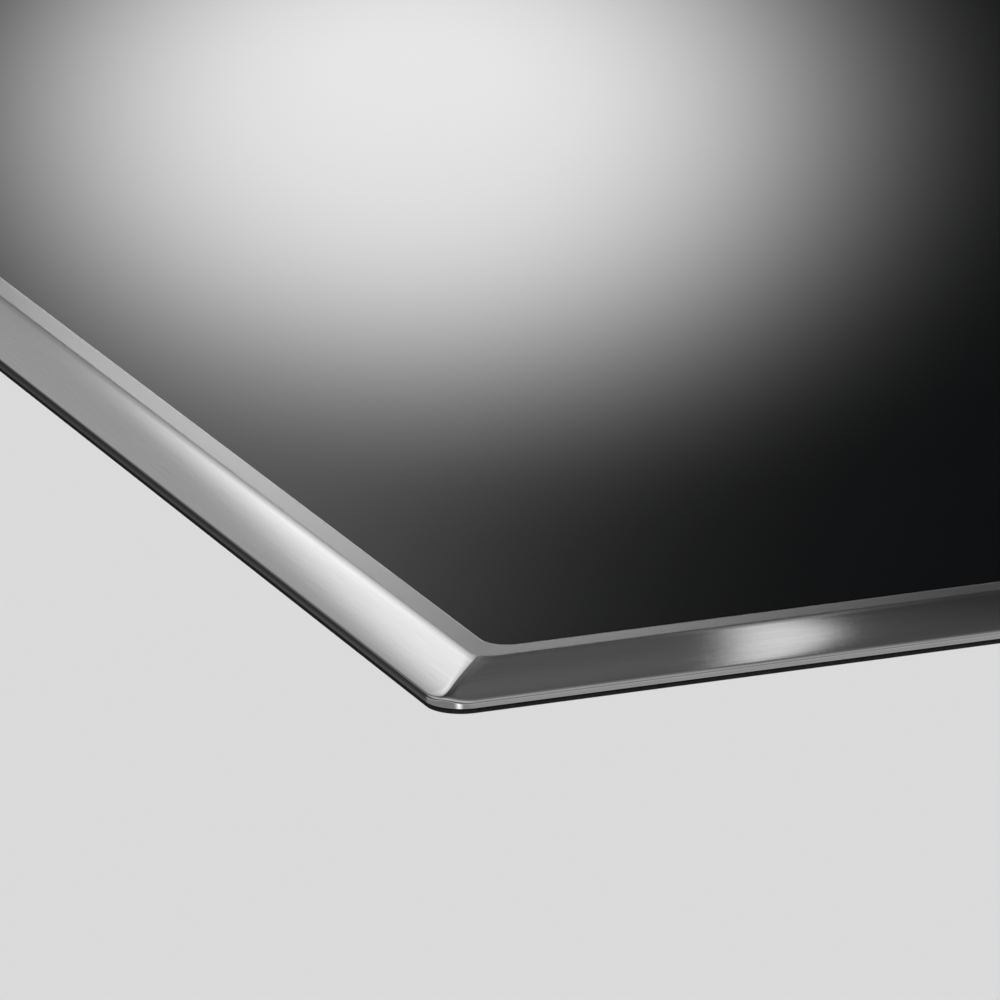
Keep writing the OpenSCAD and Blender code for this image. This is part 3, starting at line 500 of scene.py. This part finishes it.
def print_ring(x, y, r, line, gap=0, gap_at=90):
    """A ring, open for gap degrees around the angle gap_at. A line as wide as r makes a dot."""
    bpy.ops.object.select_all(action="DESELECT")
    bpy.ops.mesh.primitive_circle_add(radius=r, vertices=36, location=(x, y, ink_top),
                                      fill_type="NGON" if line >= r else "NOTHING")
    mark = bpy.context.object
    marks.append(mark)
    if line >= r:
        return
    bpy.ops.object.mode_set(mode="EDIT")
    bpy.ops.mesh.select_all(action="SELECT")
    bpy.ops.mesh.extrude_edges_move()
    k = (r - line) / r
    bpy.ops.transform.resize(value=(k, k, 1), center_override=(x, y, ink_top))
    bpy.ops.mesh.select_mode(type="FACE")
    bpy.ops.mesh.select_all(action="DESELECT")
    ring = bmesh.from_edit_mesh(mark.data)
    for face in ring.faces:
        c = face.calc_center_median()
        off = (math.degrees(math.atan2(c.y, c.x)) - gap_at + 180) % 360 - 180
        face.select_set(abs(off) < gap / 2)
    bmesh.update_edit_mesh(mark.data)
    if gap:
        bpy.ops.mesh.delete(type="FACE")
    bpy.ops.mesh.select_mode(type="VERT")
    bpy.ops.object.mode_set(mode="OBJECT")


print_ring(-0.112, keys_y, 0.0030, 0.00035, 70)                       # power
print_bar(-0.112, keys_y + 0.0021, 0.0004, 0.0032)
print_bar(-0.084, keys_y - 0.0010, 0.0040, 0.0028)                    # lock
print_ring(-0.084, keys_y + 0.0004, 0.0014, 0.00035, 180, -90)
for k, x in enumerate((-0.056, -0.042, -0.028, -0.014, 0.014, 0.028, 0.042, 0.056)):
    print_bar(x, keys_y, 0.0006, 0.0010 + 0.0005 * k)                 # steps of heat
print_ring(0.084, keys_y, 0.0030, 0.00035)                            # timer
print_bar(0.084, keys_y + 0.0008, 0.0004, 0.0018)
print_bar(0.0845, keys_y, 0.0012, 0.0004)
for x in (0.1108, 0.1132):
    print_bar(x, keys_y, 0.0008, 0.0042)                              # pause
zone_signs_y = keys_y + 0.0228
dots_apart = 0.0018
for x, large in ((-0.098, (-1, -1)), (-0.070, (-1, 1)), (0.070, (1, 1)), (0.098, (1, -1))):
    for i in (-1, 1):
        for j in (-1, 1):
            size = 0.0010 if (i, j) == large else 0.0005
            print_ring(x + i * dots_apart, zone_signs_y + j * dots_apart, size, size)

bpy.ops.object.select_all(action="DESELECT")
for mark in marks:
    mark.select_set(True)
legend = marks[0]
legend.name = legend.data.name = "touch_legend"
bpy.context.view_layer.objects.active = legend
bpy.ops.object.join()
place_in_mesh(legend)
bpy.ops.object.mode_set(mode="EDIT")
bpy.ops.mesh.select_all(action="SELECT")
ink_t = 0.00003
bpy.ops.mesh.extrude_region_move(TRANSFORM_OT_translate={"value": (0, 0, -ink_t)})
finish_mesh(legend)


def surface(name, dark, pale, smooth, rough, grain, depth, metallic=0.0, drawn=(1, 1, 1)):
    """A material whose colour, gloss and height follow one grain. Grain and depth are in metres, and
    drawn stretches the grain along X, Y and Z."""
    material = bpy.data.materials.new(name)
    material.use_nodes = True
    tree = material.node_tree
    shader = tree.nodes["Principled BSDF"]
    shader.inputs["Metallic"].default_value = metallic
    place = tree.nodes.new("ShaderNodeTexCoord")
    stretch = tree.nodes.new("ShaderNodeMapping")
    stretch.inputs["Scale"].default_value = [1 / (grain * k) for k in drawn]
    tree.links.new(place.outputs["Object"], stretch.inputs["Vector"])
    noise = tree.nodes.new("ShaderNodeTexNoise")
    noise.inputs["Scale"].default_value = 1
    noise.inputs["Detail"].default_value = 3
    tree.links.new(stretch.outputs[0], noise.inputs["Vector"])
    tree.links.new(spread(tree, noise.outputs["Fac"], dark, pale), shader.inputs["Base Color"])
    tree.links.new(spread(tree, noise.outputs["Fac"], smooth, rough), shader.inputs["Roughness"])
    bump(tree, noise.outputs["Fac"], depth, shader)
    return material


legend.data.materials.append(surface("ceramic_ink", (0.40, 0.41, 0.42), (0.50, 0.51, 0.52), 0.4, 0.55,
                                     0.0004, 0.000002))
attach(legend, "cooktop")

# ---- Glass bead and carrier ----
# A bead of black silicone bonds the glass in the trim and to the carrier, a frame of folded galvanised
# strip under the glass. The housing's screws go into the carrier's upright leg.


def paint(material, *names):
    """Gives the CAD parts the material."""
    for name in names:
        for held in nodes[name].material_slots:
            held.material = material


paint(surface("black_silicone", (0.012, 0.012, 0.012), (0.020, 0.020, 0.020), 0.35, 0.5, 0.002, 0.00001),
      "glass_adhesive")

galvanised = bpy.data.materials.new("galvanised_sheet")
galvanised.use_nodes = True
tree = galvanised.node_tree
shader = tree.nodes["Principled BSDF"]
shader.inputs["Metallic"].default_value = 1
place = tree.nodes.new("ShaderNodeTexCoord")
wander = tree.nodes.new("ShaderNodeTexNoise")
wander.inputs["Scale"].default_value = 260
wander.inputs["Detail"].default_value = 2
tree.links.new(place.outputs["Object"], wander.inputs["Vector"])
shift = tree.nodes.new("ShaderNodeVectorMath")
shift.operation = "MULTIPLY_ADD"
shift.inputs[1].default_value = (0.003, 0.003, 0.003)
tree.links.new(wander.outputs["Color"], shift.inputs[0])
tree.links.new(place.outputs["Object"], shift.inputs[2])
spangle = tree.nodes.new("ShaderNodeTexVoronoi")
spangle.inputs["Scale"].default_value = 190
tree.links.new(shift.outputs[0], spangle.inputs["Vector"])
flake = tree.nodes.new("ShaderNodeSeparateColor")
tree.links.new(spangle.outputs["Color"], flake.inputs[0])
tree.links.new(spread(tree, flake.outputs[0], (0.57, 0.59, 0.60), (0.66, 0.68, 0.69), 0.0, 1.0),
               shader.inputs["Base Color"])
tree.links.new(spread(tree, flake.outputs[1], 0.38, 0.46, 0.0, 1.0), shader.inputs["Roughness"])
bump(tree, wander.outputs["Fac"], 0.00002, shader)
paint(galvanised, "carrier_frame")

# ---- Worktop gasket ----
# A closed ring of soft black foam stuck under the trim. The worktop presses it to 0.8 mm, and its edges
# stay a little rounded.

foam_low, foam_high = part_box("worktop_gasket")
foam_in = half_w - foam_high.x
foam_stations = [(foam_in + 0.0002, foam_low.z, 0.0056, 0), (foam_in, foam_low.z + 0.0001, 0.0058, 0),
                 (foam_in, foam_high.z - 0.0002, 0.0058, 0), (foam_in + 0.0002, foam_high.z, 0.0056, 0),
                 (0.0081, foam_high.z, 0.0030, 0), (0.0085, foam_high.z - 0.0003, 0.0028, 0),
                 (0.0085, foam_low.z + 0.0003, 0.0028, 0), (0.0081, foam_low.z, 0.0030, 0)]
gasket = ring_piece("foam_gasket", foam_stations)
foam = surface("black_foam", (0.008, 0.008, 0.008), (0.020, 0.020, 0.021), 0.8, 0.95, 0.0005, 0.00004)
foam.node_tree.nodes["Principled BSDF"].inputs["Specular IOR Level"].default_value = 0.15
gasket.data.materials.append(foam)
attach(gasket, "cooktop")
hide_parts("worktop_gasket")

# ---- Housing ----
# A tray folded from 0.8 mm galvanised sheet, with slots for the cooling air and a step on each side for
# the clamps. Its long bends are rounded by the folding tool.


def copy_part(node, name):
    """A copy of a CAD part with its doubles merged and its flat faces made whole."""
    bpy.ops.object.select_all(action="DESELECT")
    piece = bpy.data.objects.new(name, nodes[node].data.copy())
    piece.data.name = name
    piece.data.materials.clear()
    bpy.context.collection.objects.link(piece)
    piece.select_set(True)
    bpy.context.view_layer.objects.active = piece
    bpy.ops.object.mode_set(mode="EDIT")
    bpy.ops.mesh.select_all(action="SELECT")
    bpy.ops.mesh.remove_doubles(threshold=1e-6)
    bpy.ops.mesh.dissolve_limited(angle_limit=math.radians(0.5))
    bpy.ops.object.mode_set(mode="OBJECT")
    return piece


tray_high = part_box("housing_tray")[1]
step_x = tray_high.x - 0.022
step_z = 0.018
fold_zone = 0.0042
tray = copy_part("housing_tray", "folded_tray")
bpy.ops.object.mode_set(mode="EDIT")
bpy.ops.mesh.select_mode(type="EDGE")
bpy.ops.mesh.select_all(action="DESELECT")
shell = bmesh.from_edit_mesh(tray.data)
for edge in shell.edges:
    a, b = edge.verts[0].co, edge.verts[1].co
    flat = abs(a.z - b.z) < 1e-6
    folded = len(edge.link_faces) == 2 and edge.calc_face_angle(0) > math.radians(60)
    wide_x = max(abs(a.x), abs(b.x))
    wide_y = max(abs(a.y), abs(b.y))
    below = a.z < 1e-5 and (step_x - wide_x < fold_zone or tray_high.y - wide_y < fold_zone)
    at_step = abs(a.z - step_z) < 1e-5 and tray_high.x - wide_x < fold_zone
    edge.select_set(flat and folded and (below or at_step))
bmesh.update_edit_mesh(tray.data)
bpy.ops.mesh.bevel(offset=0.0011, segments=4, affect="EDGES", clamp_overlap=True)
bpy.ops.mesh.select_mode(type="VERT")
bpy.ops.object.mode_set(mode="OBJECT")
shade_flat_and_bends(tray, 35)
tray.data.materials.append(galvanised)
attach(tray, "cooktop")
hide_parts("housing_tray")

# ---- Screws and rivet nuts ----
# Pan-head screws of zinc plated steel hold the housing to the carrier. Rivet nuts of the same finish are
# pressed into the steps for the clamp screws.

zinc_plated = surface("zinc_plated", (0.52, 0.52, 0.50), (0.66, 0.66, 0.63), 0.24, 0.38,
                      0.0012, 0.000006, 1.0)
paint(zinc_plated, "housing_screws", "rivet_nuts")

# ---- Worktop clamps ----
# Four stamped arms with toothed tips, each carried by a hexagon screw that draws it up against the
# worktop's underside. The stamping leaves their edges eased.


def ease_edges(piece, width):
    """Rounds the sharp edges of the piece by the width in metres."""
    soft = piece.modifiers.new("eased", "BEVEL")
    soft.width = width
    soft.segments = 2
    soft.limit_method = "ANGLE"
    soft.angle_limit = math.radians(40)
    soft.use_clamp_overlap = True
    bpy.ops.object.modifier_apply(modifier="eased")
    shade_flat_and_bends(piece, 35)


strip_steel = surface("galvanised_strip", (0.40, 0.41, 0.42), (0.58, 0.59, 0.60), 0.32, 0.46,
                      0.004, 0.00001, 1.0)
corners = ("front_left", "front_right", "rear_left", "rear_right")
for place_name in corners:
    arm = copy_part(place_name + "_clamp_arm", place_name + "_stamped_arm")
    ease_edges(arm, 0.0003)
    arm.data.materials.append(strip_steel)
    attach(arm, place_name + "_arm")
    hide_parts(place_name + "_clamp_arm")
    screw = copy_part(place_name + "_clamp_screw", place_name + "_hexagon_screw")
    ease_edges(screw, 0.0003)
    screw.data.materials.append(zinc_plated)
    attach(screw, place_name + "_screw")
    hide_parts(place_name + "_clamp_screw")

# ---- Coil plates, posts and springs ----
# Two aluminium plates carry the coils. They slide on moulded posts, and drawn steel springs press them up
# so that the coils lie against the glass.

paint(surface("rolled_aluminium", (0.60, 0.61, 0.62), (0.74, 0.75, 0.76), 0.26, 0.36, 0.0006, 0.000004, 1.0,
              (1, 30, 1)), "left_coil_plate", "right_coil_plate")
paint(surface("post_moulding", (0.66, 0.66, 0.63), (0.76, 0.76, 0.73), 0.45, 0.6, 0.0015, 0.000008),
      "plate_posts")
paint(surface("spring_wire", (0.34, 0.34, 0.35), (0.50, 0.50, 0.51), 0.25, 0.4, 0.0006, 0.000004, 1.0),
      "plate_springs")

# ---- Coils ----
# A flat coil of enamelled copper strands on a spoked moulding, with ferrite bars below and a disc of mica
# and fibre above. A soft-capped sensor stands in the middle, and two woven sleeves carry the ends down.

strand = 0.0005
for place_name in corners:
    coil_low, coil_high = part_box(place_name + "_winding")
    middle = (coil_low + coil_high) / 2
    copper = bpy.data.materials.new(place_name + "_strands")
    copper.use_nodes = True
    tree = copper.node_tree
    shader = tree.nodes["Principled BSDF"]
    shader.inputs["Metallic"].default_value = 0.85
    shader.inputs["Coat Weight"].default_value = 0.4
    place = tree.nodes.new("ShaderNodeTexCoord")
    centre = tree.nodes.new("ShaderNodeMapping")
    centre.inputs["Location"].default_value = (-middle.x, -middle.y, 0)
    tree.links.new(place.outputs["Object"], centre.inputs["Vector"])
    turns = tree.nodes.new("ShaderNodeTexWave")
    turns.wave_type = "RINGS"
    turns.rings_direction = "Z"
    turns.inputs["Scale"].default_value = 2 * math.pi / (20 * strand)
    turns.inputs["Distortion"].default_value = 0.6
    turns.inputs["Detail"].default_value = 2
    tree.links.new(centre.outputs[0], turns.inputs["Vector"])
    tree.links.new(spread(tree, turns.outputs["Fac"], (0.30, 0.10, 0.035), (0.62, 0.28, 0.12), 0.1, 0.9),
                   shader.inputs["Base Color"])
    tree.links.new(spread(tree, turns.outputs["Fac"], 0.42, 0.28, 0.1, 0.9), shader.inputs["Roughness"])
    bump(tree, turns.outputs["Fac"], 0.00012, shader)
    paint(copper, place_name + "_winding")

former_moulding = surface("former_moulding", (0.46, 0.43, 0.37), (0.58, 0.55, 0.49), 0.5, 0.65,
                          0.003, 0.00001)
felt = surface("mica_and_fibre", (0.50, 0.46, 0.38), (0.72, 0.68, 0.60), 0.75, 0.95, 0.0009, 0.00006,
               drawn=(3, 1, 1))
for place_name in corners:
    paint(former_moulding, place_name + "_former")
    paint(felt, place_name + "_insulation")
paint(surface("sintered_ferrite", (0.030, 0.030, 0.033), (0.075, 0.075, 0.08), 0.55, 0.75, 0.0004,
              0.00002),
      "ferrite_bars")
paint(surface("sensor_cap", (0.38, 0.11, 0.07), (0.48, 0.17, 0.11), 0.45, 0.6, 0.001, 0.000008),
      "coil_sensors")
paint(surface("woven_sleeve", (0.36, 0.07, 0.04), (0.58, 0.16, 0.10), 0.7, 0.9, 0.0005, 0.00008),
      "coil_leads")

# ---- Power electronics ----
# One board under each pair of zones, in a moulded tray, with an extruded heat sink in the air stream. The
# mains filter stands between them with its two ring chokes.

black_moulding = surface("black_moulding", (0.018, 0.018, 0.020), (0.034, 0.034, 0.037), 0.42, 0.58,
                         0.0008, 0.00001)
paint(black_moulding, "left_board_tray", "right_board_tray")

solder_mask = bpy.data.materials.new("solder_mask")
solder_mask.use_nodes = True
tree = solder_mask.node_tree
shader = tree.nodes["Principled BSDF"]
shader.inputs["Coat Weight"].default_value = 0.3
place = tree.nodes.new("ShaderNodeTexCoord")
tracks = tree.nodes.new("ShaderNodeTexVoronoi")
tracks.distance = "CHEBYCHEV"
tracks.feature = "F1"
tracks.inputs["Scale"].default_value = 170
tree.links.new(place.outputs["Object"], tracks.inputs["Vector"])
green = spread(tree, tracks.outputs["Distance"], (0.020, 0.12, 0.045), (0.010, 0.065, 0.028), 0.38, 0.46)
tree.links.new(green, shader.inputs["Base Color"])
tree.links.new(spread(tree, tracks.outputs["Distance"], 0.30, 0.42), shader.inputs["Roughness"])
bump(tree, tracks.outputs["Distance"], -0.00003, shader)
paint(solder_mask, "left_power_board", "right_power_board", "mains_filter_board")

paint(surface("extruded_aluminium", (0.54, 0.55, 0.56), (0.70, 0.71, 0.72), 0.30, 0.42,
              0.0005, 0.000012, 1.0, (1, 60, 1)), "left_heat_sink", "right_heat_sink")
paint(surface("epoxy_case", (0.010, 0.010, 0.011), (0.022, 0.022, 0.024), 0.5, 0.65, 0.0005, 0.00001),
      "power_transistors")
paint(surface("capacitor_box", (0.55, 0.34, 0.035), (0.66, 0.43, 0.06), 0.28, 0.4, 0.002, 0.00001),
      "film_capacitors")
paint(surface("shrunk_sleeve", (0.020, 0.035, 0.12), (0.035, 0.06, 0.19), 0.25, 0.38, 0.0015, 0.00001),
      "electrolytic_capacitors")
paint(surface("relay_cover", (0.030, 0.038, 0.048), (0.045, 0.055, 0.066), 0.38, 0.5, 0.001, 0.000008),
      "relays")
paint(surface("enamelled_wire", (0.36, 0.13, 0.04), (0.60, 0.27, 0.10), 0.24, 0.36, 0.0007, 0.00001, 0.9),
      "filter_chokes")

# ---- Blowers ----
# A snail housing and a drum impeller on each side, both moulded in black, draw cool air in through the
# slots below and send it through the heat sink.

paint(black_moulding, "left_blower_housing", "right_blower_housing")
paint(surface("impeller_moulding", (0.014, 0.014, 0.015), (0.028, 0.028, 0.030), 0.32, 0.45,
              0.0009, 0.000008), "left_impeller", "right_impeller")

# ---- Touch control ----
# A moulded carrier clipped under the front of the glass holds the control board, the tinned touch
# sleeves, the display modules and the flat ribbon to the mains filter.

paint(black_moulding, "control_carrier")
paint(solder_mask, "control_board")
paint(surface("tinned_wire", (0.50, 0.46, 0.36), (0.64, 0.60, 0.50), 0.28, 0.42, 0.0006, 0.000006, 1.0),
      "touch_springs")
paint(surface("display_moulding", (0.52, 0.52, 0.50), (0.62, 0.62, 0.60), 0.4, 0.55, 0.0012, 0.000006),
      "display_modules")
paint(surface("flat_ribbon", (0.26, 0.27, 0.28), (0.42, 0.43, 0.44), 0.45, 0.6, 0.0012, 0.00004,
              drawn=(1, 200, 200)), "control_ribbon")

# ---- Mains connection ----
# A moulded box in the recess at the back, with a white terminal block, a hinged flap over it and a strap
# that grips the cable.

box_piece = copy_part("terminal_box", "mains_box")
ease_edges(box_piece, 0.00025)
box_piece.data.materials.append(black_moulding)
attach(box_piece, "cooktop")
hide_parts("terminal_box")
flap = copy_part("terminal_cover", "hinged_flap")
ease_edges(flap, 0.00025)
flap.data.materials.append(black_moulding)
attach(flap, "mains_flap")
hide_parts("terminal_cover")
paint(surface("terminal_moulding", (0.56, 0.55, 0.52), (0.66, 0.65, 0.62), 0.38, 0.52, 0.0012, 0.000008),
      "terminal_block")
paint(surface("strap_moulding", (0.64, 0.63, 0.60), (0.74, 0.73, 0.70), 0.42, 0.55, 0.0012, 0.000008),
      "cable_clamp")
